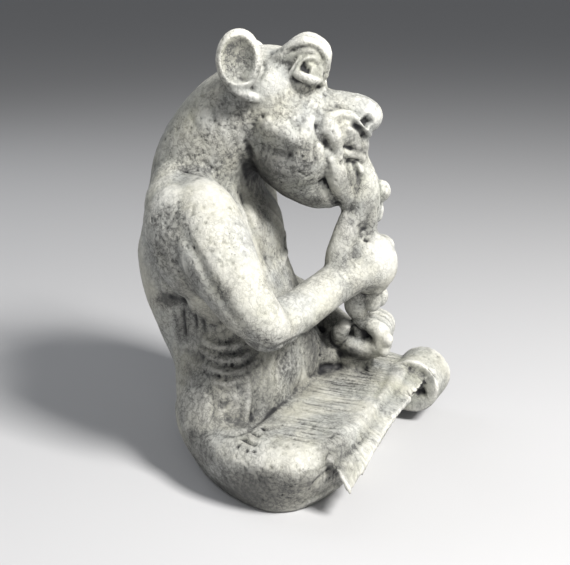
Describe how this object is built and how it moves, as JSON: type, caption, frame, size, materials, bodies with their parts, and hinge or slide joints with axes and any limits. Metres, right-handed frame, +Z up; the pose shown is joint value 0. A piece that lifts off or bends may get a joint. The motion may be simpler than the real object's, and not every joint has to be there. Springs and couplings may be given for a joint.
{
  "type": "gargoyle statue",
  "caption": "Cast stone gargoyle that crouches on a low base and gnaws a haunch held in its fists, with a black wash in the carving.",
  "frame": {"origin": "bottom centre of the bounding box, on the underside of the base", "axes": "+Z up; the figure faces -Y; +X is the figure's left side"},
  "size_m": [0.22, 0.193, 0.301],
  "materials": {
    "cast_stone": "matt cream cast stone with a dark grey wash left in the recesses"
  },
  "bodies": {
    "root": {"gargoyle": "cast_stone"}
  },
  "joints": []
}
